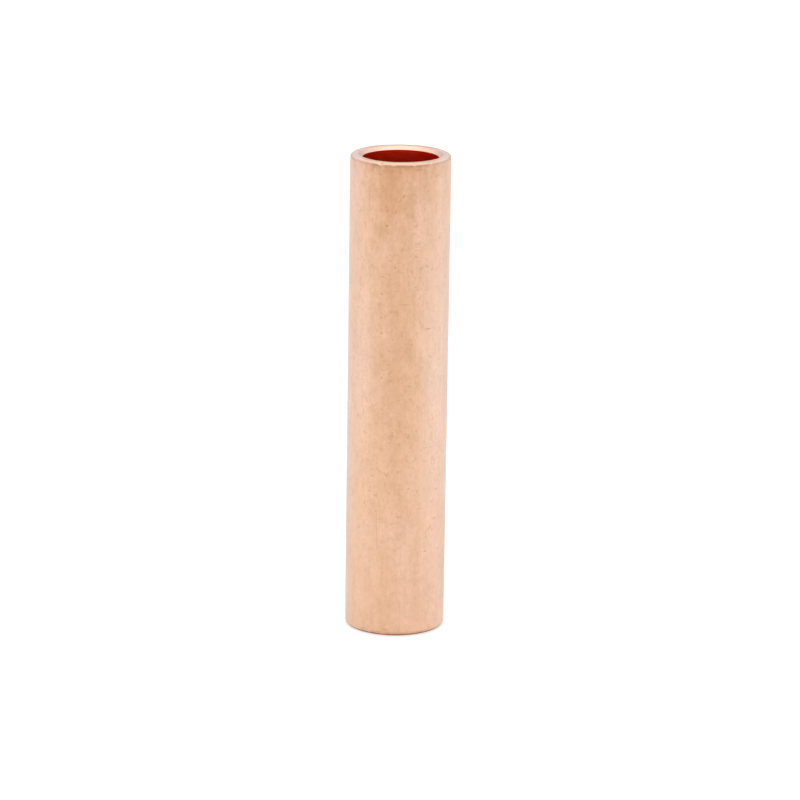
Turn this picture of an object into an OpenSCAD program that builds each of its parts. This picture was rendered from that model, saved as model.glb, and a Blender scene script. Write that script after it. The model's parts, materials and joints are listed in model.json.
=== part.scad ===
// Butt splice connector: a plain seamless copper tube that is open right through.
// A stripped conductor goes in at each end, and the wall is crimped down on both.
// It stands on its lower end, with its axis on +Z and its origin at the middle of that end.

/* [Tube] */
// Diameter of the bore, which takes the strands of the conductor
bore_diameter = 13.6; // [3:0.1:40]
// Thickness of the wall between the bore and the outside
wall_thickness = 2.2; // [1:0.1:6]
// Length from one end face to the other
tube_length = 87; // [20:1:200]

/* [Ends] */
// Radius that rounds the outer edge of each end
outer_edge_radius = 0.6; // [0.1:0.05:1.5]
// Width of the 45 degree chamfer that opens the mouth of the bore at each end
mouth_chamfer = 0.7; // [0.1:0.05:1.5]

/* [Hidden] */
$fn = 180;

copper = "#E4B48C";

bore_radius = bore_diameter / 2;
outer_radius = bore_radius + wall_thickness;

// Each edge's cut keeps to its own side of the wall, so that a flat ring is left between the two
most_of_half_wall = 0.45 * wall_thickness;
outer_rounding = min(outer_edge_radius, most_of_half_wall);
mouth_cut = min(mouth_chamfer, most_of_half_wall);

// How far a cut runs out past the faces that it starts from
overcut = 1;

// What a rounding takes off a corner at [0, 0] whose material lies towards +X and +Y
module rounding_waste(rounding) {
    difference() {
        translate([-overcut, -overcut])
            square(overcut + rounding);
        translate([rounding, rounding])
            circle(rounding);
    }
}

// What a chamfer takes off a corner at [0, 0] whose material lies towards +X and +Y
module chamfer_waste(width) {
    polygon([[-overcut, -overcut], [width + overcut, -overcut], [-overcut, width + overcut]]);
}

// What the chamfer and the rounding of the lower end take off the section of the wall
module end_waste() {
    translate([bore_radius, 0])
        chamfer_waste(mouth_cut);
    translate([outer_radius, 0])
        mirror([1, 0])
            rounding_waste(outer_rounding);
}

// Section of the wall on one side of the axis
module wall_section() {
    difference() {
        translate([bore_radius, 0])
            square([wall_thickness, tube_length]);
        end_waste();
        translate([0, tube_length])
            mirror([0, 1])
                end_waste();
    }
}

module splice_tube() {
    color(copper)
        rotate_extrude()
            wall_section();
}

splice_tube();
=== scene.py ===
"""Dresses the butt splice connector: a bare copper tube, open right through, that stands on its end."""

import json
import logging
import math
from dataclasses import dataclass
from enum import Enum
from typing import Any, Mapping, Sequence, Union

import bpy
import numpy as np
from mathutils import Euler, Matrix, Vector


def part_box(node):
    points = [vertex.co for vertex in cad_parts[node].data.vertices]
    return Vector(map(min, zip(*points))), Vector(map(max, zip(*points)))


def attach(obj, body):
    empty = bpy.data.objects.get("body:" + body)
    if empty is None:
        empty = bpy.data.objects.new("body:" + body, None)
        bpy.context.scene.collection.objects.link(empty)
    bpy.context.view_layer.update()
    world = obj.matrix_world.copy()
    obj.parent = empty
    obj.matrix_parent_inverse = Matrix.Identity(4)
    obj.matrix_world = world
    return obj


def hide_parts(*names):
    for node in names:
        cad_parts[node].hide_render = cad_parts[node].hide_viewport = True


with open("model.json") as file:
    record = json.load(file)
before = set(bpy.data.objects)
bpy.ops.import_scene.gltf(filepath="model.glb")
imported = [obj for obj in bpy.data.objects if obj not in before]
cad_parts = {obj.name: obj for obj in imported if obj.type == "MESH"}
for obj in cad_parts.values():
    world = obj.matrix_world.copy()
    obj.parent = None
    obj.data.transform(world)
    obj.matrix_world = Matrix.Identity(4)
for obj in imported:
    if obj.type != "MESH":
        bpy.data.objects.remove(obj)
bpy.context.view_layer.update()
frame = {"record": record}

MM = 0.001

log = logging.getLogger("splice")

Number = Union["Wire", float]
Span = tuple[float, float]
Triple = tuple[float, float, float]
Key = Union[str, int]


class Wire:
    """One output of a node, with the operators that add Math nodes to its tree."""

    def __init__(self, graph: "Graph", socket: bpy.types.NodeSocket) -> None:
        """Holds a socket and the graph that it belongs to."""
        self.graph = graph
        self.socket = socket

    def output(self, name: Key) -> "Wire":
        """Gives another output of the same node."""
        return Wire(self.graph, find_socket(self.socket.node.outputs, name))

    def swing(self, amount: float) -> "Wire":
        """Swings to half an amount either side of 0, for a noise whose middle is 0.5."""
        return (self - 0.5) * amount

    def __add__(self, other: Number) -> "Wire":
        """Adds a value."""
        return self.graph.maths("ADD", self, other)

    __radd__ = __add__

    def __sub__(self, other: Number) -> "Wire":
        """Takes a value away."""
        return self.graph.maths("SUBTRACT", self, other)

    def __rsub__(self, other: Number) -> "Wire":
        """Takes this away from a value."""
        return self.graph.maths("SUBTRACT", other, self)

    def __mul__(self, other: Number) -> "Wire":
        """Multiplies by a value."""
        return self.graph.maths("MULTIPLY", self, other)

    __rmul__ = __mul__

    def __truediv__(self, other: Number) -> "Wire":
        """Divides by a value."""
        return self.graph.maths("DIVIDE", self, other)

    def __rtruediv__(self, other: Number) -> "Wire":
        """Divides a value by this."""
        return self.graph.maths("DIVIDE", other, self)

    def __neg__(self) -> "Wire":
        """Turns the sign round."""
        return self * -1.0

    def __abs__(self) -> "Wire":
        """Drops the sign."""
        return self.graph.maths("ABSOLUTE", self)

    def __gt__(self, other: Number) -> "Wire":
        """Gives 1 where this is more than a value."""
        return self.graph.maths("GREATER_THAN", self, other)

    def __lt__(self, other: Number) -> "Wire":
        """Gives 1 where this is less than a value."""
        return self.graph.maths("LESS_THAN", self, other)


def find_socket(sockets: Any, name: Key) -> bpy.types.NodeSocket:
    """Finds a node's live socket.

    Args:
        sockets: A node's inputs or outputs.
        name: The socket's identifier, its name, or its place among the live ones.

    Returns:
        The first live socket that fits.
    """
    live = [socket for socket in sockets if socket.enabled]
    if isinstance(name, int):
        return live[name]
    return next(socket for socket in live if name in (socket.identifier, socket.name))


class Graph:
    """A node tree that is being wired up, of shader nodes or geometry nodes."""

    def __init__(self, tree: bpy.types.NodeTree) -> None:
        """Holds the tree."""
        self.tree = tree

    def add(
        self,
        kind: str,
        settings: Mapping[str, Any] | None = None,
        sockets: Mapping[Key, Any] | None = None,
    ) -> bpy.types.Node:
        """Adds a node.

        Args:
            kind: The node's type.
            settings: Its own properties, which are set first.
            sockets: The value or the wire of each input that isn't left as it is.

        Returns:
            The node.
        """
        made = self.tree.nodes.new(kind)
        for name, value in (settings or {}).items():
            setattr(made, name, value)
        for name, value in (sockets or {}).items():
            self.feed(find_socket(made.inputs, name), value)
        return made

    def node(
        self,
        kind: str,
        settings: Mapping[str, Any] | None = None,
        sockets: Mapping[Key, Any] | None = None,
        output: Key = 0,
    ) -> Wire:
        """Adds a node as add does, and takes the wire from one of its outputs."""
        return Wire(self, find_socket(self.add(kind, settings, sockets).outputs, output))

    def feed(self, socket: bpy.types.NodeSocket, value: Any) -> None:
        """Links a wire, or several, to a socket, or sets the socket's own value.

        Args:
            socket: The input to feed.
            value: A wire, a list of wires for a socket that takes many, or a plain value.
        """
        wires = value if isinstance(value, list) else [value]
        if all(isinstance(wire, Wire) for wire in wires):
            for wire in wires:
                self.tree.links.new(wire.socket, socket)
        else:
            socket.default_value = value

    def maths(self, operation: str, *values: Number) -> Wire:
        """Adds a Math node on one, two or three values."""
        return self.node("ShaderNodeMath", {"operation": operation}, dict(enumerate(values)))

    def most(self, *values: Number) -> Wire:
        """Takes the largest of some values.

        Args:
            values: The values.

        Returns:
            The largest.
        """
        found = values[0]
        for value in values[1:]:
            found = self.maths("MAXIMUM", found, value)
        return found

    def vector(self, operation: str, *values: Any) -> Wire:
        """Adds a Vector Math node on one, two or three vectors."""
        return self.node("ShaderNodeVectorMath", {"operation": operation}, dict(enumerate(values)))

    def scaled(self, vector: Wire, by: Number) -> Wire:
        """Multiplies a vector by a number."""
        return self.node("ShaderNodeVectorMath", {"operation": "SCALE"}, {"Vector": vector, "Scale": by})

    def joined(self, x: Number, y: Number, z: Number) -> Wire:
        """Makes a vector of three numbers."""
        return self.node("ShaderNodeCombineXYZ", None, {"X": x, "Y": y, "Z": z})

    def split(self, vector: Wire) -> tuple[Wire, Wire, Wire]:
        """Splits a vector into its three numbers."""
        x = self.node("ShaderNodeSeparateXYZ", None, {"Vector": vector})
        return x, x.output("Y"), x.output("Z")

    def from_axis(self, x: Wire, y: Wire) -> Wire:
        """Gives a point's distance from the tube's axis."""
        return self.maths("SQRT", x * x + y * y)

    def from_ends(self, height: Wire, length: Number) -> Wire:
        """Gives the distance in from the nearer end of a length, for a height above its lower end."""
        half = length / 2
        return half - abs(height - half)

    def ease(self, value: Wire, start: float, end: float, low: Number = 0.0, high: Number = 1.0) -> Wire:
        """Runs smoothly from low to high as a value goes from start to end, which may be below start."""
        span = {"Value": value, "From Min": start, "From Max": end, "To Min": low, "To Max": high}
        return self.node("ShaderNodeMapRange", {"interpolation_type": "SMOOTHSTEP"}, span)

    def blend(self, factor: Number, a: Any, b: Any, how: str = "MIX") -> Wire:
        """Mixes two colours, of which the factor says how much of the second is taken."""
        sockets = {"Factor_Float": factor, "A_Color": a, "B_Color": b}
        return self.node("ShaderNodeMix", {"data_type": "RGBA", "blend_type": how}, sockets)

    def shaded(self, colour: Wire, shade: Wire) -> Wire:
        """Multiplies a colour by a number."""
        return self.blend(1.0, colour, self.joined(shade, shade, shade), "MULTIPLY")

    def noise(
        self, place: Wire, scale: float, detail: float = 2.0, roughness: float = 0.5, warp: float = 0.0
    ) -> Wire:
        """Adds a Noise texture, whose middle is 0.5.

        Args:
            place: Where it is read.
            scale: How many features there are to a unit of place.
            detail: How many finer layers lie on the first.
            roughness: How strong each finer layer is.
            warp: How far the noise pulls itself out of shape.

        Returns:
            The noise's value.
        """
        sockets = {
            "Vector": place,
            "Scale": scale,
            "Detail": detail,
            "Roughness": roughness,
            "Distortion": warp,
        }
        return self.node("ShaderNodeTexNoise", None, sockets)


def opaque(colour: Triple) -> tuple[float, float, float, float]:
    """Adds a full alpha to a colour."""
    return (*colour, 1.0)


class End(Enum):
    """Which end of the tube."""

    LOWER = 0
    UPPER = 1


@dataclass(frozen=True)
class Nick:
    """A small blow to the rounded edge of an end.

    Attributes:
        turn: Degrees round the axis from the side that faces the camera, positive to its right.
        end: The end that was hit.
        reach: How far the dent reaches from its middle, in metres.
        scar_length: Length of the fresh metal that it bares, in reaches.
        scar_width: Width of the fresh metal, in reaches.
        scar_inset: How far in from the end the fresh metal's middle is, in radii of the rounded edge.
    """

    turn: float
    end: End
    reach: float
    scar_length: float = 3.2
    scar_width: float = 2.2
    scar_inset: float = 0.7

    def scar(self, sizes: "TubeSizes") -> "Mark":
        """Gives the oval of fresh metal that the blow leaves.

        Args:
            sizes: The tube's sizes.

        Returns:
            The oval.
        """
        inset = sizes.outer_edge * self.scar_inset
        height = inset + (sizes.length - inset * 2) * self.end.value
        return Mark(
            turn=self.turn,
            height=height / MM,
            length=self.reach * self.scar_length / MM,
            width=self.reach * self.scar_width / MM,
            slant=0.0,
            depth=1.0,
        )


@dataclass(frozen=True)
class Mark:
    """A soft-edged oval on the wall, such as a pit, a scratch or a stain.

    Attributes:
        turn: Degrees round the axis from the side that faces the camera, positive to its right.
        height: Millimetres above the lower end.
        length: Millimetres from end to end.
        width: Millimetres across.
        slant: Degrees that its length leans up from the level, positive where its right end is higher.
        depth: How strong it is in its middle, from 0 to 1.
    """

    turn: float
    height: float
    length: float
    width: float
    slant: float
    depth: float


@dataclass(frozen=True)
class TubeSizes:
    """The tube's sizes in metres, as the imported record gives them."""

    outer_radius: float
    bore_radius: float
    length: float
    outer_edge: float
    mouth_edge: float

    @classmethod
    def from_frame(cls, node: str, record: Mapping[str, Any]) -> "TubeSizes":
        """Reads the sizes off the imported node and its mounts.

        Args:
            node: The node's name.
            record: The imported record.

        Returns:
            The sizes.
        """
        dims = {mount["name"]: mount["dims"] for mount in record["mounts"]}
        bore, barrel = dims["conductor_bore_top"], dims["barrel_outside"]
        low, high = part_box(node)
        length = high[2] - low[2]
        return cls(
            outer_radius=barrel["r_mm"] * MM,
            bore_radius=bore["r_mm"] * MM,
            length=length,
            outer_edge=(length - barrel["length_mm"] * MM) / 2,
            mouth_edge=(length - bore["length_mm"] * MM) / 2,
        )

    @property
    def middle_radius(self) -> float:
        """Radius of the middle of the wall."""
        return (self.bore_radius + self.outer_radius) / 2


@dataclass(frozen=True)
class Places:
    """The coordinates that a finish is drawn on, in millimetres.

    Attributes:
        point: The point itself.
        unrolled: The wall laid flat: distance round it from the side that faces the camera, then height.
        girth_radius: The radius that the wall is laid flat at.
        radius: Distance from the axis.
        height: Distance up from the lower end.
        depth: Distance in from the nearer end.
        facing: How squarely a place faces the camera or away from it, from 0 at the sides to 1.
    """

    point: Wire
    unrolled: Wire
    girth_radius: float
    radius: Wire
    height: Wire
    depth: Wire
    facing: Wire

    @classmethod
    def of_tube(cls, g: Graph, sizes: TubeSizes) -> "Places":
        """Works the coordinates out from the object's own.

        Args:
            g: The material's graph.
            sizes: The tube's sizes.

        Returns:
            The coordinates.
        """
        point = g.scaled(g.node("ShaderNodeTexCoord", None, None, "Object"), 1 / MM)
        x, y, z = g.split(point)
        across = x * x + y * y
        girth_radius = sizes.outer_radius / MM
        return cls(
            point=point,
            unrolled=g.joined(g.maths("ARCTAN2", x, -y) * girth_radius, z, 0.0),
            girth_radius=girth_radius,
            radius=g.maths("SQRT", across),
            height=z,
            depth=g.from_ends(z, sizes.length / MM),
            facing=y * y / across,
        )

    def ovals(self, g: Graph, marks: Sequence[Mark], stray: Number = 0.0, core: float = 0.0) -> Wire:
        """Draws soft-edged ovals on the wall.

        Each is a round gradient, drawn out to its length and width, that reaches past the oval's edge so
        that the edge can stray outwards too.

        Args:
            g: The material's graph.
            marks: The ovals.
            stray: What is added to the distance from an oval's middle, which is 1 at its edge.
            core: The distance from its middle that it is at full strength to.

        Returns:
            How strong the strongest oval is, from 0 to 1.
        """
        reach = 2.0
        offset = stray + reach
        strongest: Number = 0.0
        for mark in marks:
            frame_of_mark = {
                "Vector": self.unrolled,
                "Location": (math.radians(mark.turn) * self.girth_radius, mark.height, 0.0),
                "Rotation": (0.0, 0.0, math.radians(mark.slant)),
                "Scale": (mark.length / 2 * reach, mark.width / 2 * reach, 1.0),
            }
            local = g.node("ShaderNodeMapping", {"vector_type": "TEXTURE"}, frame_of_mark)
            shape = {"gradient_type": "SPHERICAL"}
            nearness = g.node("ShaderNodeTexGradient", shape, {"Vector": local}, "Fac")
            gap = g.maths("MULTIPLY_ADD", nearness, -reach, offset)
            strongest = g.most(g.ease(gap, 1.0, core, 0.0, mark.depth), strongest)
        return strongest


def end_metal(g: Graph, colour: Wire, roughness: Wire, height: Wire, film: Mapping[Key, Any]) -> None:
    """Ends a copper finish's tree in its shader.

    Args:
        g: The material's graph.
        colour: The metal's colour.
        roughness: Its roughness.
        height: How high its surface stands, in millimetres.
        film: The shader's sockets for a film that lies on the metal.
    """
    bump = g.node("ShaderNodeBump", None, {"Strength": 1.0, "Distance": MM, "Height": height})
    metal = {"Base Color": colour, "Metallic": 1.0, "Roughness": roughness, "Normal": bump}
    shader = g.node("ShaderNodeBsdfPrincipled", None, {**metal, **film})
    g.add("ShaderNodeOutputMaterial", None, {"Surface": shader})


def new_graph(name: str) -> tuple[bpy.types.Material, Graph]:
    """Makes a material with an empty tree.

    Args:
        name: The material's name.

    Returns:
        The material, and the graph to wire it with.
    """
    made = bpy.data.materials.new(name)
    made.use_nodes = True
    made.node_tree.nodes.clear()
    return made, Graph(made.node_tree)


@dataclass(frozen=True)
class Pattern:
    """A noise that the metal is drawn with.

    Attributes:
        scale: How many features there are to a millimetre.
        detail: How many finer layers lie on the first.
        roughness: How strong each finer layer is.
        warp: How far the noise pulls itself out of shape.
        squeeze: What the coordinates are multiplied by first. A low last number draws it out upwards.
    """

    scale: float
    detail: float
    roughness: float = 0.5
    warp: float = 0.0
    squeeze: Triple | None = None

    def read(self, g: Graph, at: Places) -> Wire:
        """Reads the noise at each place.

        Args:
            g: The material's graph.
            at: The coordinates.

        Returns:
            The noise's value, whose middle is 0.5.
        """
        place = at.point
        if self.squeeze:
            place = g.vector("MULTIPLY", place, self.squeeze)
        return g.noise(place, self.scale, self.detail, self.roughness, self.warp)


@dataclass(frozen=True)
class Copper:
    """What the finishes share: the noises of the metal's grain and wear, and its scars."""

    grain: Pattern = Pattern(4.0, 2.0, 0.6)
    mottle: Pattern = Pattern(0.9, 4.0, 0.62)
    streaks: Pattern = Pattern(2.8, 3.0, 0.6, squeeze=(1.0, 1.0, 0.02))
    breaks: Pattern = Pattern(0.5, 4.0, 0.65)
    scar_core: float = 0.6

    def unscarred(self, g: Graph, at: Places, scars: Sequence[Mark]) -> Wire:
        """Gives 1 where the darkening along the ends can lie, falling to 0 in the scars."""
        return 1 - at.ovals(g, scars, 0.0, self.scar_core)


@dataclass(frozen=True)
class AnnealedCopper(Copper):
    """The wall's finish: copper that was drawn, annealed and pickled, pale and matte under a film."""

    tan: Triple = (0.815, 0.512, 0.325)
    pink: Triple = (0.82, 0.53, 0.385)
    bloom: Triple = (0.71, 0.375, 0.18)
    pale: Triple = (0.84, 0.595, 0.455)
    stain: Triple = (0.57, 0.255, 0.125)
    metal_roughness: float = 0.45
    film: float = 0.42
    film_roughness: float = 0.6
    edge_tint: Triple = (0.76, 0.795, 0.84)
    patches: Pattern = Pattern(0.34, 3.0, 0.8, squeeze=(1.0, 1.0, 0.6))
    clouds: Pattern = Pattern(0.1, 3.0, 0.5, squeeze=(1.0, 1.0, 0.4))
    bands: Pattern = Pattern(0.5, 3.0, 0.55, squeeze=(1.0, 1.0, 0.05))
    curls: Pattern = Pattern(0.8, 2.0, 0.5, 1.0)
    curl_groups: Pattern = Pattern(0.9, 1.0)
    scrapes: Pattern = Pattern(1.0, 1.0, 0.5, 0.6, squeeze=(1.7, 1.7, 0.6))
    specks: Pattern = Pattern(1.5, 1.0, 0.5, 0.4)
    stroke_stain: float = 0.44
    # Strength of the smudging and painted shade next to the ends
    smudge_stain: float = 0.75
    mark_stain: float = 0.85

    def material(
        self,
        sizes: TubeSizes,
        marks: Sequence[Mark],
        blooms: Sequence[Mark],
        pales: Sequence[Mark],
        scars: Sequence[Mark],
    ) -> bpy.types.Material:
        """Makes the finish.

        Args:
            sizes: The tube's sizes.
            marks: The pits and scratches that stand out.
            blooms: The broad patches that heat has tinted.
            pales: The broad patches that the pickle has left paler.
            scars: The places where knocks bared fresh metal, which the darkening along the ends spares.

        Returns:
            The material.
        """
        made, g = new_graph("annealed_copper")
        at = Places.of_tube(g, sizes)

        grain = self.grain.read(g, at)
        mottle = self.mottle.read(g, at)
        patch = self.patches.read(g, at)
        cloud = self.clouds.read(g, at)
        band = self.bands.read(g, at)
        streak = self.streaks.read(g, at)
        strokes = self.strokes(g, at, band)
        placed = at.ovals(g, marks, grain.swing(0.6), 0.3)
        stray = mottle.swing(0.4) + patch.swing(0.8)

        pinkness = g.ease(cloud * 0.5 + band * 0.2 + patch * 0.3, 0.38, 0.62)
        colour = g.blend(pinkness, opaque(self.tan), opaque(self.pink))
        colour = g.blend(at.ovals(g, pales, stray), colour, opaque(self.pale))
        colour = g.blend(at.ovals(g, blooms, stray), colour, opaque(self.bloom))
        # Partly painted shade: the wall darkens next to the ends, most on the front and back
        smudged = self.smudges(g, at, sizes) * self.unscarred(g, at, scars)
        stained = g.most(
            strokes * self.stroke_stain, smudged * self.smudge_stain, placed * self.mark_stain
        )
        colour = g.blend(stained, colour, opaque(self.stain))
        shade = 1 + patch.swing(0.27) + mottle.swing(0.26) + grain.swing(0.11)
        shade = shade + streak.swing(0.12) + band.swing(0.10)
        colour = g.shaded(colour, shade)

        roughness = self.metal_roughness + mottle.swing(0.14) + grain.swing(0.06) + stained * 0.08
        height = grain.swing(0.006) + mottle.swing(0.012) + streak.swing(0.008)
        height = height - strokes * 0.002 - placed * 0.010
        film = {
            "Sheen Weight": self.film,
            "Sheen Roughness": self.film_roughness,
            "Specular Tint": opaque(self.edge_tint),
        }
        end_metal(g, colour, roughness, height, film)
        return made

    def strokes(self, g: Graph, at: Places, band: Wire) -> Wire:
        """Scatters the short faint marks of drawing and handling: curls, upright scrapes and specks.

        They gather in loose columns, and thin out towards the foot.

        Args:
            g: The material's graph.
            at: The coordinates.
            band: The noise that the columns follow.

        Returns:
            How strong a mark is, from 0 to 1.
        """
        curl = self.curls.read(g, at)
        group = self.curl_groups.read(g, at)
        curled = g.ease(abs(curl - 0.5), 0.055, 0.0) * g.ease(group, 0.53, 0.70)
        scrape = self.scrapes.read(g, at)
        speck = self.specks.read(g, at)
        gathered = g.ease(band, 0.36, 0.60, 0.45, 1.0) * g.ease(at.height, 6.0, 30.0, 0.45, 1.0)
        marks = g.most(curled * 0.7, g.ease(scrape, 0.54, 0.80) * 0.6, g.ease(speck, 0.57, 0.80))
        return marks * gathered

    def smudges(self, g: Graph, at: Places, sizes: TubeSizes) -> Wire:
        """Darkens the wall next to the ends, in broken patches and a thin line along each edge:
        tarnishing and painted shade.

        Args:
            g: The material's graph.
            at: The coordinates.
            sizes: The tube's sizes.

        Returns:
            How strong the smudging and painted shade are, from 0 to 1.
        """
        edge = sizes.outer_edge / MM
        broken = self.breaks.read(g, at)
        line = g.ease(at.depth, edge * 1.7, edge * 0.8) * g.ease(broken, 0.30, 0.58)
        smudge = g.ease(at.depth, edge * 5.0, edge) * g.ease(broken, 0.48, 0.64)
        # Painted shade: fainter at the sides, strongest where the wall faces the camera or away from it
        return g.most(line, smudge * 0.8) * g.ease(at.facing, 0.35, 0.92, 0.25, 1.0)


@dataclass(frozen=True)
class CutCopper(Copper):
    """The finish of the ends and the bore: bare metal, bright where it was cut and dark red inside, with
    painted shade, highlight and sheen.
    """

    rim: Triple = (0.82, 0.545, 0.405)
    inner_rim: Triple = (0.84, 0.50, 0.30)
    # Painted sheen: the rim's colour where it lies to the left and right, as the camera sees it
    side_rim: Triple = (0.93, 0.685, 0.58)
    # Paler cut metal on the mouth's chamfer, partly a painted highlight
    lip: Triple = (0.86, 0.605, 0.48)
    # Painted shade with some tarnishing: the dark line along the upper outer rounding
    edge: Triple = (0.50, 0.235, 0.11)
    # Painted shade: the darker line along the foot's rounding, where it meets the floor
    foot: Triple = (0.35, 0.13, 0.06)
    # Painted shade: the bore's red is deeper just inside the mouth
    throat: Triple = (0.97, 0.185, 0.064)
    # Red copper in the bore: partly oxide, partly the painted colour that light takes on bouncing round
    # inside
    bore: Triple = (0.97, 0.27, 0.09)
    scraped_bore: Triple = (0.97, 0.42, 0.18)
    # Painted shade: the bore darkens further in
    deep_bore: Triple = (0.55, 0.16, 0.06)
    rim_roughness: float = 0.33
    bore_roughness: float = 0.22
    rings_per_mm: float = 9.0
    inner_rim_width: float = 0.6
    throat_depth: float = 3.2
    deep_from: Span = (8.0, 30.0)
    foot_heights: Span = (2.0, 1.0)

    def material(self, sizes: TubeSizes, scars: Sequence[Mark]) -> bpy.types.Material:
        """Makes the finish.

        Args:
            sizes: The tube's sizes, which say where the rims, the mouths and the bore are.
            scars: The places where knocks bared fresh metal, which the darkening along the edges spares.

        Returns:
            The material.
        """
        made, g = new_graph("cut_copper")
        at = Places.of_tube(g, sizes)
        mouth = sizes.mouth_edge / MM
        inner = sizes.bore_radius / MM + mouth
        opened = g.ease(at.radius, inner, inner - mouth * 0.1)
        in_bore = opened * g.ease(at.depth, mouth * 0.96, mouth * 1.02)

        grain = self.grain.read(g, at)
        mottle = self.mottle.read(g, at)
        streak = self.streaks.read(g, at)
        rings = g.noise(g.joined(at.radius * self.rings_per_mm, 0.0, 0.0), 1.0, 2.0)
        tooled = rings + in_bore * (streak - rings)

        colour = g.blend(rings * 0.4, opaque(self.rim), opaque(self.inner_rim))
        near_mouth = g.ease(at.radius, inner + self.inner_rim_width, inner)
        colour = g.blend(near_mouth, colour, opaque(self.inner_rim))
        # Painted sheen: the rim turns paler and whiter towards its left and right
        colour = g.blend(g.ease(at.facing, 0.60, 0.15), colour, opaque(self.side_rim))
        # The mouth's chamfer: paler cut metal, partly a painted highlight
        colour = g.blend(opened, colour, opaque(self.lip))
        # Painted shade, with some tarnishing above: a dark line along each outer rounding, darkest at the
        # foot
        at_foot = g.ease(at.height, *self.foot_heights)
        tarnish = g.blend(at_foot, opaque(self.edge), opaque(self.foot))
        tarnished = self.line(g, at, sizes) * self.unscarred(g, at, scars)
        colour = g.blend(tarnished, colour, tarnish)

        # Painted shade in the bore: deeper red just inside the mouth
        down = g.ease(at.depth, mouth, mouth + self.throat_depth)
        red = g.blend(down, opaque(self.throat), opaque(self.bore))
        scraped = g.ease(streak * 0.7 + mottle * 0.3, 0.48, 0.66) * down
        red = g.blend(scraped, red, opaque(self.scraped_bore))
        # Painted shade: darker further down the bore
        red = g.blend(g.ease(at.depth, *self.deep_from), red, opaque(self.deep_bore))
        colour = g.blend(in_bore, colour, red)
        shade = 1 + mottle.swing(0.18) + grain.swing(0.08) + tooled.swing(0.14)
        colour = g.shaded(colour, shade)

        roughness = self.rim_roughness + in_bore * (self.bore_roughness - self.rim_roughness)
        roughness = roughness + mottle.swing(0.12)
        height = grain.swing(0.004) + mottle.swing(0.010) + tooled.swing(0.006)
        end_metal(g, colour, roughness, height, {})
        return made

    def line(self, g: Graph, at: Places, sizes: TubeSizes) -> Wire:
        """Darkens the outer rounding of each end as a thin, broken line: painted shade, partly tarnishing
        above.

        The upper one fades out at the sides, and the lower one, along the foot, runs right round.

        Args:
            g: The material's graph.
            at: The coordinates.
            sizes: The tube's sizes.

        Returns:
            How strong the painted shade and tarnishing are, from 0 to 1.
        """
        edge = sizes.outer_edge / MM
        outside = at.radius > sizes.middle_radius / MM
        broken = self.breaks.read(g, at)
        # Painted shade: the upper line fades at the sides, strongest where the rounding faces the camera
        # or away from it
        upper = g.ease(at.depth, edge * 0.4, edge * 0.9) * g.ease(at.facing, 0.45, 0.92, 0.2, 1.0)
        # Painted shade: the lower line runs right round the foot
        lower = g.ease(at.height, edge * 1.6, edge * 1.1)
        worn = g.ease(broken, 0.32, 0.56, 0.4, 1.0)
        smeared = g.ease(broken, 0.32, 0.56, 0.75, 1.0)
        return outside * g.most(upper * worn, lower * smeared)


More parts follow.
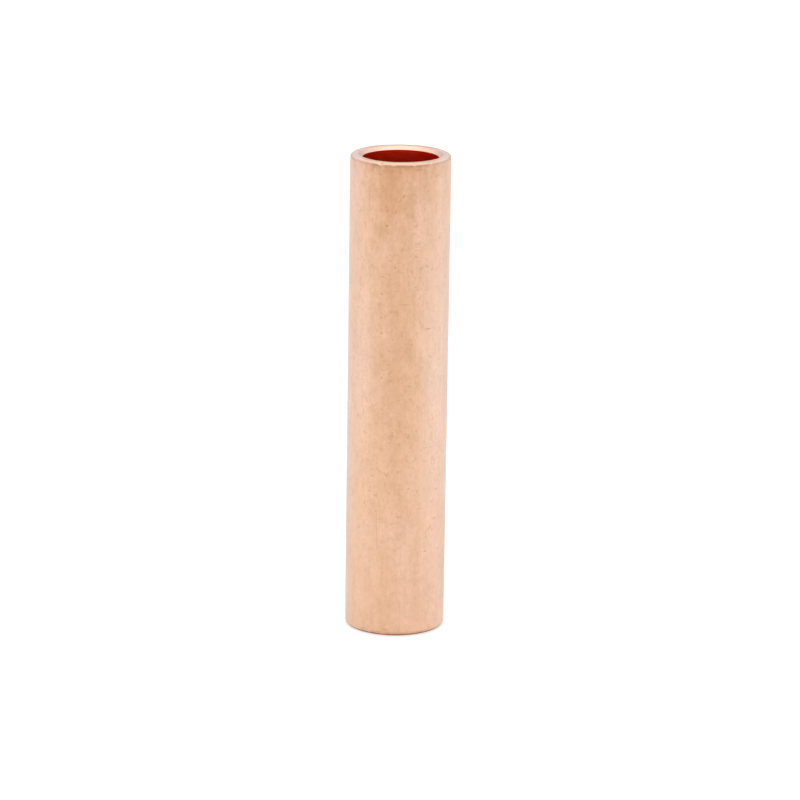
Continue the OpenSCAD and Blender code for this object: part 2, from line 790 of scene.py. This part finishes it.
@dataclass
class SpliceTube:
    """The connector's one piece: its mesh, its finish and its place on the frame."""

    node: str
    sizes: TubeSizes
    nicks: Sequence[Nick]
    marks: Sequence[Mark]
    blooms: Sequence[Mark]
    pales: Sequence[Mark]
    wall_finish: AnnealedCopper
    end_finish: CutCopper
    body: str = "root"
    slot: str = "copper"
    segments: int = 384
    wall_row: float = 1.0 * MM
    face_row: float = 0.15 * MM
    edge_rows: int = 10
    edge_wander: float = 0.10 * MM
    crease: float = math.radians(30.0)
    cut_depth: float = 0.75
    wander_depths: Span = (1.6 * MM, 0.2 * MM)
    wander_scale: float = 260.0
    stray_nicks: int = 16
    stray_turns: Span = (-3.0, 3.0)
    stray_reaches: Span = (0.12 * MM, 0.34 * MM)
    nick_inset: float = 0.3
    nick_depth: float = 0.5
    nick_stretch: float = 1.6
    seed: int = 7

    def build(self) -> bpy.types.Object:
        """Builds the tube, dresses it and seats it on the frame.

        Returns:
            The finished piece.
        """
        scars = [nick.scar(self.sizes) for nick in self.nicks]
        wall_finish = self.wall_finish.material(self.sizes, self.marks, self.blooms, self.pales, scars)
        piece = self.turned(wall_finish, self.end_finish.material(self.sizes, scars))
        self.unroll(piece.data)
        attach(piece, self.body)
        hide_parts(self.node)
        return piece

    def turned(self, wall_finish: bpy.types.Material, end_finish: bpy.types.Material) -> bpy.types.Object:
        """Turns the wall's section round the axis with geometry nodes.

        Args:
            wall_finish: The material of the outside.
            end_finish: The material of the ends and the bore.

        Returns:
            The tube, as a plain mesh.
        """
        values = {
            "Outer Radius": self.sizes.outer_radius,
            "Bore Radius": self.sizes.bore_radius,
            "Length": self.sizes.length,
            "Outer Edge": self.sizes.outer_edge,
            "Mouth Edge": self.sizes.mouth_edge,
            "Segments": self.segments,
            "Wall Row": self.wall_row,
            "Face Row": self.face_row,
            "Edge Rows": self.edge_rows,
            "Edge Wander": self.edge_wander,
            "Crease": self.crease,
            "Stray Nicks": self.stray_nicks,
            "Seed": self.seed,
            "Wall Finish": wall_finish,
            "End Finish": end_finish,
        }
        kinds = {float: "NodeSocketFloat", int: "NodeSocketInt", bpy.types.Material: "NodeSocketMaterial"}
        tree = bpy.data.node_groups.new("turned_tube", "GeometryNodeTree")
        identifiers = {}
        for name, value in values.items():
            socket = tree.interface.new_socket(name, in_out="INPUT", socket_type=kinds[type(value)])
            identifiers[name] = socket.identifier
        tree.interface.new_socket("Geometry", in_out="OUTPUT", socket_type="NodeSocketGeometry")
        self.wire_tube(Graph(tree))

        carrier = bpy.data.objects.new("tube_carrier", bpy.data.meshes.new("tube_carrier"))
        bpy.context.scene.collection.objects.link(carrier)
        modifier = carrier.modifiers.new("turned_tube", "NODES")
        modifier.node_group = tree
        for name, value in values.items():
            modifier[identifiers[name]] = value
        evaluated = carrier.evaluated_get(bpy.context.evaluated_depsgraph_get())
        mesh = bpy.data.meshes.new_from_object(evaluated)
        bpy.data.objects.remove(carrier)
        mesh.name = "copper_splice_tube"
        piece = bpy.data.objects.new("copper_splice_tube", mesh)
        bpy.context.scene.collection.objects.link(piece)
        return piece

    def wire_tube(self, g: Graph) -> None:
        """Wires the tree that makes the tube.

        Args:
            g: The tree's graph.
        """
        given = g.node("NodeGroupInput")
        section = self.wire_section(g, given)
        circle = g.node(
            "GeometryNodeCurvePrimitiveCircle",
            {"mode": "RADIUS"},
            {"Resolution": given.output("Segments"), "Radius": self.wire_middle(given)},
        )
        circle = g.node("GeometryNodeSetCurveNormal", {"mode": "Z_UP"}, {"Curve": circle})
        tube = g.node("GeometryNodeCurveToMesh", None, {"Curve": circle, "Profile Curve": section})
        lift = g.joined(0.0, 0.0, given.output("Length") / 2)
        tube = g.node("GeometryNodeSetPosition", None, {"Geometry": tube, "Offset": lift})
        tube = self.wire_wander(g, given, tube)
        tube = self.wire_nicks(g, given, tube)
        tube = g.node("GeometryNodeSetShadeSmooth", None, {"Geometry": tube, "Shade Smooth": True})
        angle = g.node("GeometryNodeInputMeshEdgeAngle", None, None, "Unsigned Angle")
        tube = g.node(
            "GeometryNodeSetShadeSmooth",
            {"domain": "EDGE"},
            {"Geometry": tube, "Selection": angle > given.output("Crease"), "Shade Smooth": False},
        )
        tube = g.node("GeometryNodeRealizeInstances", None, {"Geometry": tube})
        outside = {"Geometry": tube, "Material": given.output("Wall Finish")}
        tube = g.node("GeometryNodeSetMaterial", None, outside)
        ends = {
            "Geometry": tube,
            "Selection": self.wire_ends(g, given),
            "Material": given.output("End Finish"),
        }
        tube = g.node("GeometryNodeSetMaterial", None, ends)
        g.add("NodeGroupOutput", None, {"Geometry": tube})

    def wire_middle(self, given: Wire) -> Wire:
        """Wires the radius of the middle of the wall."""
        return (given.output("Bore Radius") + given.output("Outer Radius")) / 2

    def wire_ends(self, g: Graph, given: Wire) -> Wire:
        """Wires the choice of the faces that were cut: the rims, their roundings and the bore.

        Args:
            g: The tree's graph.
            given: The tree's inputs.

        Returns:
            1 on those faces.
        """
        x, y, z = g.split(g.node("GeometryNodeInputPosition"))
        inside = g.from_axis(x, y) < self.wire_middle(given)
        at_end = g.from_ends(z, given.output("Length")) < given.output("Outer Edge") * self.cut_depth
        return g.most(inside, at_end)

    def wire_section(self, g: Graph, given: Wire) -> Wire:
        """Wires the section of the wall: a tall rectangle with its corners cut, divided into rows.

        Args:
            g: The tree's graph.
            given: The tree's inputs.

        Returns:
            The section, with its outer side towards +X and its length along Y.
        """
        where = g.node("GeometryNodeInputPosition")
        wall = given.output("Outer Radius") - given.output("Bore Radius")
        section = g.node(
            "GeometryNodeCurvePrimitiveQuadrilateral",
            {"mode": "RECTANGLE"},
            {"Width": wall, "Height": given.output("Length")},
        )
        outside = g.split(where)[0] > 0.0
        cut = given.output("Mouth Edge") * (1 - outside) + given.output("Outer Edge") * outside
        rows = 1 + outside * (given.output("Edge Rows") - 1)
        section = g.node(
            "GeometryNodeFilletCurve",
            {"mode": "POLY"},
            {"Curve": section, "Count": rows, "Radius": cut, "Limit Radius": True},
        )
        count = g.node("GeometryNodeAttributeDomainSize", {"component": "CURVE"}, {"Geometry": section})
        following = g.maths("MODULO", g.node("GeometryNodeInputIndex") + 1, count)
        ahead = g.node(
            "GeometryNodeFieldAtIndex",
            {"data_type": "FLOAT_VECTOR", "domain": "POINT"},
            {"Value": where, "Index": following},
        )
        run = g.vector("DISTANCE", ahead, where).output("Value")
        on_side = run > wall
        row = given.output("Face Row") * (1 - on_side) + given.output("Wall Row") * on_side
        cuts = g.maths("FLOOR", run / row)
        return g.node("GeometryNodeSubdivideCurve", None, {"Curve": section, "Cuts": cuts})

    def wire_wander(self, g: Graph, given: Wire, tube: Wire) -> Wire:
        """Wires the slight unevenness of hand-eased ends, which only takes material off.

        Args:
            g: The tree's graph.
            given: The tree's inputs.
            tube: The plain tube.

        Returns:
            The tube with uneven ends.
        """
        where = g.node("GeometryNodeInputPosition")
        height = g.split(where)[2]
        at_end = g.ease(g.from_ends(height, given.output("Length")), *self.wander_depths)
        uneven = g.noise(where, self.wander_scale, 3.0, 0.6) * at_end * given.output("Edge Wander")
        inward = g.scaled(g.node("GeometryNodeInputNormal"), -uneven)
        return g.node("GeometryNodeSetPosition", None, {"Geometry": tube, "Offset": inward})

    def wire_nicks(self, g: Graph, given: Wire, tube: Wire) -> Wire:
        """Wires the dents in the outer edges of the ends.

        They are laid out on the unrolled tube, squeezed along the edge, so that each is long and low.

        Args:
            g: The tree's graph.
            given: The tree's inputs.
            tube: The tube to dent.

        Returns:
            The dented tube.
        """
        where = g.node("GeometryNodeInputPosition")
        x, y, z = g.split(where)
        squeeze = given.output("Outer Radius") / self.nick_stretch
        unrolled = g.joined(g.maths("ARCTAN2", x, -y) * squeeze, g.from_axis(x, y), z)

        inset = given.output("Outer Edge") * self.nick_inset
        struck = given.output("Outer Radius") - inset
        reached = given.output("Length") - inset * 2
        stray_turn = self.wire_random(g, given, 1, self.stray_turns)
        stray_end = g.maths("ROUND", self.wire_random(g, given, 2, (0.0, 1.0)))
        strays = {
            "Count": given.output("Stray Nicks"),
            "Position": g.joined(stray_turn * squeeze, struck, inset + stray_end * reached),
            "Radius": self.wire_random(g, given, 3, self.stray_reaches),
        }
        struck_places = [g.node("GeometryNodePoints", None, strays)]
        for nick in self.nicks:
            place = g.joined(math.radians(nick.turn) * squeeze, struck, inset + reached * nick.end.value)
            blow = {"Count": 1, "Position": place, "Radius": nick.reach}
            struck_places.append(g.node("GeometryNodePoints", None, blow))
        blows = g.node("GeometryNodeJoinGeometry", None, {"Geometry": struck_places})
        search = {"Geometry": blows, "Sample Position": unrolled}
        nearest = g.node("GeometryNodeSampleNearest", {"domain": "POINT"}, search)
        centre = g.node(
            "GeometryNodeSampleIndex",
            {"data_type": "FLOAT_VECTOR", "domain": "POINT"},
            {"Geometry": blows, "Value": where, "Index": nearest},
        )
        reach = g.node(
            "GeometryNodeSampleIndex",
            {"data_type": "FLOAT", "domain": "POINT"},
            {"Geometry": blows, "Value": g.node("GeometryNodeInputRadius"), "Index": nearest},
        )
        gap = g.vector("DISTANCE", unrolled, centre).output("Value") / reach
        dent = g.ease(gap, 1.0, 0.0) * reach * self.nick_depth
        inward = g.scaled(g.node("GeometryNodeInputNormal"), -dent)
        return g.node("GeometryNodeSetPosition", None, {"Geometry": tube, "Offset": inward})

    def wire_random(self, g: Graph, given: Wire, draw: int, span: Span) -> Wire:
        """Draws a number within a span for each point. No two draws are alike."""
        sockets = {"Min_001": span[0], "Max_001": span[1], "Seed": given.output("Seed") + draw}
        return g.node("FunctionNodeRandomValue", {"data_type": "FLOAT"}, sockets)

    def unroll(self, mesh: bpy.types.Mesh) -> None:
        """Lays the outside and the bore side by side on a square map, at one scale.

        Args:
            mesh: The tube's mesh.
        """
        sizes = self.sizes
        points = np.empty(len(mesh.vertices) * 3)
        mesh.vertices.foreach_get("co", points)
        corners = np.empty(len(mesh.loops), np.int32)
        mesh.loops.foreach_get("vertex_index", corners)
        quads = points.reshape(-1, 3)[corners].reshape(-1, 4, 3)
        middles = quads.mean(axis=1, keepdims=True)

        turn = np.arctan2(quads[..., 0], -quads[..., 1])
        middle_turn = np.arctan2(middles[..., 0], -middles[..., 1])
        turn = middle_turn + (turn - middle_turn + np.pi) % (2 * np.pi) - np.pi
        inside = np.hypot(middles[..., 0], middles[..., 1]) < sizes.middle_radius
        radius = np.where(inside, sizes.bore_radius, sizes.outer_radius)
        from_wall = np.abs(np.hypot(quads[..., 0], quads[..., 1]) - radius)
        half = sizes.length / 2
        outer_girth, bore_girth = 2 * np.pi * sizes.outer_radius, 2 * np.pi * sizes.bore_radius
        across = (turn + np.pi) * radius + inside * (outer_girth + MM) + MM / 2
        up = quads[..., 2] - half + np.sign(middles[..., 2] - half) * from_wall

        side = outer_girth + bore_girth + 2 * MM
        flat = np.stack([across / side, up / side + 0.5], axis=-1)
        chart = mesh.uv_layers.new(name="OFBake")
        chart.uv.foreach_set("vector", flat.reshape(-1).astype(np.float32))


@dataclass(frozen=True)
class Softbox:
    """A soft area light.

    Attributes:
        name: What it is called.
        centre: Where its middle is, in metres.
        aim: The point that it faces, in metres.
        width: Its width, in metres.
        height: Its height, in metres.
        radiance: How bright its face is, with white in the picture at 1.
    """

    name: str
    centre: Triple
    aim: Triple
    width: float
    height: float
    radiance: float

    def hang(self) -> None:
        """Hangs the light in the scene."""
        lamp = bpy.data.lights.new(self.name, "AREA")
        lamp.shape = "RECTANGLE"
        lamp.size = self.width
        lamp.size_y = self.height
        lamp.energy = self.radiance * math.pi * self.width * self.height
        hung = bpy.data.objects.new(self.name, lamp)
        hung.location = self.centre
        hung.rotation_euler = (Vector(self.aim) - Vector(self.centre)).to_track_quat("-Z", "Y").to_euler()
        hung.visible_camera = False
        bpy.context.scene.collection.objects.link(hung)


@dataclass(frozen=True)
class PaleFloor:
    """Smooth white board, lit a little from below."""

    colour: Triple = (0.55, 0.55, 0.55)
    roughness: float = 0.9
    gloss: float = 0.1
    glow: Triple = (1.0, 1.0, 1.0)
    glow_strength: float = 0.58

    def material(self) -> bpy.types.Material:
        """Makes the finish.

        Returns:
            The material.
        """
        made, g = new_graph("pale_floor")
        board = {
            "Base Color": opaque(self.colour),
            "Roughness": self.roughness,
            "Specular IOR Level": self.gloss,
            "Emission Color": opaque(self.glow),
            "Emission Strength": self.glow_strength,
        }
        shader = g.node("ShaderNodeBsdfPrincipled", None, board)
        g.add("ShaderNodeOutputMaterial", None, {"Surface": shader})
        return made


@dataclass
class Studio:
    """The pale floor, the soft light and the camera.

    The spans are parts of a direction of length 1: towards the back, or upwards. The light goes over from
    one colour to the next between a span's two numbers.
    """

    boxes: Sequence[Softbox]
    floor: PaleFloor
    floor_radius: float = 4.0
    floor_sides: int = 96
    floor_drop: float = 0.02 * MM
    front_light: Triple = (0.38, 0.33, 0.28)
    side_light: Triple = (0.71, 0.725, 0.755)
    top_light: Triple = (1.08, 1.09, 1.11)
    back_light: Triple = (0.30, 0.27, 0.24)
    top_heights: Span = (0.15, 0.75)
    front_reach: Span = (-0.1, -0.85)
    front_heights: Span = (0.45, 0.12)
    back_reach: Span = (0.42, 0.92)
    back_heights: Span = (0.14, 0.02)
    bounces: int = 20
    target: Triple = (0.485 * MM, 0.0, 41.816 * MM)
    distance: float = 697.3 * MM
    elevation: float = 15.04
    roll: float = 0.838
    lens: float = 174.3
    sensor: float = 36.0
    clip: Span = (0.01, 50.0)

    def build(self) -> None:
        """Sets up the floor, the lights, the room and the camera."""
        self.lay_floor()
        self.light_room()
        for box in self.boxes:
            box.hang()
        self.place_camera()
        view = bpy.context.scene.view_settings
        view.view_transform = "Standard"
        view.look = "None"

    def lay_floor(self) -> None:
        """Lays a round floor just under the tube."""
        turns = np.linspace(0.0, 2 * np.pi, self.floor_sides, endpoint=False)
        radius = self.floor_radius
        ring = [(radius * math.cos(turn), radius * math.sin(turn), -self.floor_drop) for turn in turns]
        mesh = bpy.data.meshes.new("floor")
        mesh.from_pydata(ring, [], [list(range(len(ring)))])
        mesh.materials.append(self.floor.material())
        floor = bpy.data.objects.new("floor", mesh)
        bpy.context.scene.collection.objects.link(floor)

    def light_room(self) -> None:
        """Makes a soft white room, brightest overhead, and dim and warm low down in front and behind."""
        world = bpy.data.worlds.new("soft_room")
        world.use_nodes = True
        world.node_tree.nodes.clear()
        g = Graph(world.node_tree)
        way = g.node("ShaderNodeTexCoord", None, None, "Generated")
        _, back, up = g.split(way)
        overhead = g.ease(up, *self.top_heights)
        colour = g.blend(overhead, opaque(self.side_light), opaque(self.top_light))
        behind = g.ease(back, *self.back_reach) * g.ease(up, *self.back_heights)
        colour = g.blend(behind, colour, opaque(self.back_light))
        ahead = g.ease(back, *self.front_reach) * g.ease(up, *self.front_heights)
        colour = g.blend(ahead, colour, opaque(self.front_light))
        shine = g.node("ShaderNodeBackground", None, {"Color": colour, "Strength": 1.0})
        g.add("ShaderNodeOutputWorld", None, {"Surface": shine})
        bpy.context.scene.world = world
        bpy.context.scene.cycles.max_bounces = self.bounces
        bpy.context.scene.cycles.glossy_bounces = self.bounces

    def place_camera(self) -> None:
        """Places the camera at the photograph's viewing angle."""
        data = bpy.data.cameras.new("camera")
        data.lens = self.lens
        data.sensor_width = self.sensor
        data.clip_start, data.clip_end = self.clip
        camera = bpy.data.objects.new("camera", data)
        rise = math.radians(self.elevation)
        back = Vector((0.0, -math.cos(rise), math.sin(rise)))
        camera.location = Vector(self.target) + back * self.distance
        tilt = Euler((math.pi / 2 - rise, 0.0, 0.0)).to_matrix()
        camera.rotation_euler = (tilt @ Matrix.Rotation(math.radians(self.roll), 3, "Z")).to_euler()
        bpy.context.scene.collection.objects.link(camera)
        bpy.context.scene.camera = camera


# Nicks in the upper edge: degrees round from the front, end and reach
NICKS = (
    Nick(-22.0, End.UPPER, 0.55 * MM),
    Nick(-8.0, End.UPPER, 0.30 * MM),
    Nick(15.5, End.UPPER, 0.30 * MM),
    Nick(36.0, End.UPPER, 0.30 * MM),
)

# Pits, scratches and stains, from the fields of Mark in order
MARKS = (
    Mark(-22.1, 19.8, 11.6, 0.30, 92.0, 0.40),
    Mark(-19.8, 63.4, 0.8, 0.7, 0.0, 0.60),
    Mark(-19.5, 59.1, 0.5, 0.5, 0.0, 0.55),
    Mark(-19.2, 56.3, 0.8, 0.7, 0.0, 0.60),
    Mark(-18.5, 48.1, 0.8, 0.7, 0.0, 0.60),
    Mark(35.9, 56.9, 1.7, 0.40, -3.0, 0.65),
    Mark(5.0, 61.6, 3.0, 0.40, 2.0, 0.40),
    Mark(-14.1, 51.2, 1.6, 0.36, 2.0, 0.35),
    Mark(-15.7, 49.6, 1.8, 0.36, 4.0, 0.40),
    Mark(42.2, 19.9, 1.8, 0.42, 55.0, 0.65),
    Mark(50.2, 21.5, 0.6, 0.6, 0.0, 0.75),
    Mark(36.7, 15.7, 0.9, 0.55, 0.0, 0.65),
    Mark(57.1, 15.6, 0.9, 0.5, 90.0, 0.45),
    Mark(-20.1, 30.9, 1.5, 0.40, -42.0, 0.60),
    Mark(-12.9, 30.4, 1.6, 0.36, -64.0, 0.40),
    Mark(-51.8, 32.8, 1.7, 0.30, 90.0, 0.60),
    Mark(3.8, 81.1, 1.1, 0.5, 60.0, 0.60),
    Mark(2.9, 71.5, 1.0, 0.45, 70.0, 0.55),
    Mark(4.6, 71.6, 0.9, 0.40, -75.0, 0.45),
    Mark(-14.5, 75.8, 0.9, 0.6, 0.0, 0.55),
    Mark(9.4, 67.9, 1.5, 0.40, 80.0, 0.40),
    Mark(14.6, 67.3, 1.6, 0.40, -82.0, 0.45),
    Mark(25.9, 68.1, 1.3, 0.45, 25.0, 0.45),
    Mark(33.0, 68.4, 1.2, 0.45, -35.0, 0.45),
    Mark(40.1, 67.7, 1.1, 0.45, 60.0, 0.40),
    Mark(-18.3, 66.5, 0.6, 0.5, 0.0, 0.45),
    Mark(15.9, 54.3, 1.0, 0.40, 60.0, 0.45),
    Mark(12.6, 46.7, 0.9, 0.45, 35.0, 0.45),
    Mark(-59.6, 52.7, 1.0, 0.45, 70.0, 0.45),
    Mark(-60.4, 50.8, 0.8, 0.45, -60.0, 0.40),
    Mark(13.3, 37.4, 1.2, 0.45, 48.0, 0.55),
    Mark(22.9, 38.4, 0.8, 0.45, 20.0, 0.40),
    Mark(14.3, 27.7, 0.9, 0.45, 30.0, 0.50),
    Mark(24.1, 27.0, 0.8, 0.45, 75.0, 0.45),
    Mark(3.9, 22.5, 1.3, 0.36, 10.0, 0.40),
    Mark(-16.3, 86.3, 1.1, 0.55, -15.0, 0.75),
    Mark(-13.0, 85.5, 3.2, 1.3, 0.0, 0.45),
    Mark(21.0, 85.8, 1.5, 0.50, 8.0, 0.65),
    Mark(22.8, 86.4, 1.3, 0.4, 0.0, 0.55),
    Mark(6.3, 86.1, 0.9, 0.35, 60.0, 0.40),
)

# Broad patches that heat has tinted, the last six of them on the back and the sides
BLOOMS = (
    Mark(-10.0, 83.0, 15.0, 36.0, 0.0, 0.75),
    Mark(0.0, 86.0, 24.0, 10.0, 0.0, 0.80),
    Mark(-13.0, 86.0, 5.0, 3.4, 0.0, 0.90),
    Mark(19.0, 86.0, 4.0, 2.4, 0.0, 0.75),
    Mark(32.0, 83.0, 6.5, 9.0, 0.0, 0.45),
    Mark(-2.0, 50.0, 12.0, 92.0, 0.0, 0.42),
    Mark(6.0, 24.0, 7.0, 13.0, 0.0, 0.30),
    Mark(0.0, 2.0, 40.0, 44.0, 0.0, 0.24),
    Mark(128.0, 58.0, 13.0, 84.0, 0.0, 0.50),
    Mark(-140.0, 30.0, 10.0, 70.0, 0.0, 0.45),
    Mark(-110.0, 84.0, 14.0, 30.0, 0.0, 0.60),
    Mark(140.0, 86.0, 10.0, 12.0, 0.0, 0.70),
    Mark(82.0, 12.0, 11.0, 40.0, 0.0, 0.40),
    Mark(-78.0, 20.0, 8.0, 44.0, 0.0, 0.35),
)

# Broad patches that the pickle has left paler
PALES = (
    Mark(52.0, 46.0, 11.0, 84.0, 0.0, 0.75),
    Mark(-46.0, 52.0, 5.0, 50.0, 0.0, 0.35),
)


def main() -> None:
    """Builds the studio and the tube, and reports each piece."""
    logging.basicConfig(level=logging.INFO, format="%(name)s: %(message)s")
    studio = Studio(
        boxes=(Softbox("overhead", (0.0, 0.3, 1.1), (0.0, 0.2, 0.0), 1.2, 1.4, 0.35),),
        floor=PaleFloor(),
    )
    studio.build()
    tube = SpliceTube(
        node="splice_tube",
        sizes=TubeSizes.from_frame("splice_tube", frame["record"]),
        nicks=NICKS,
        marks=MARKS,
        blooms=BLOOMS,
        pales=PALES,
        wall_finish=AnnealedCopper(),
        end_finish=CutCopper(),
    )
    piece = tube.build()
    log.info("%s: %d faces", piece.name, len(piece.data.polygons))


if __name__ == "__main__":
    main()
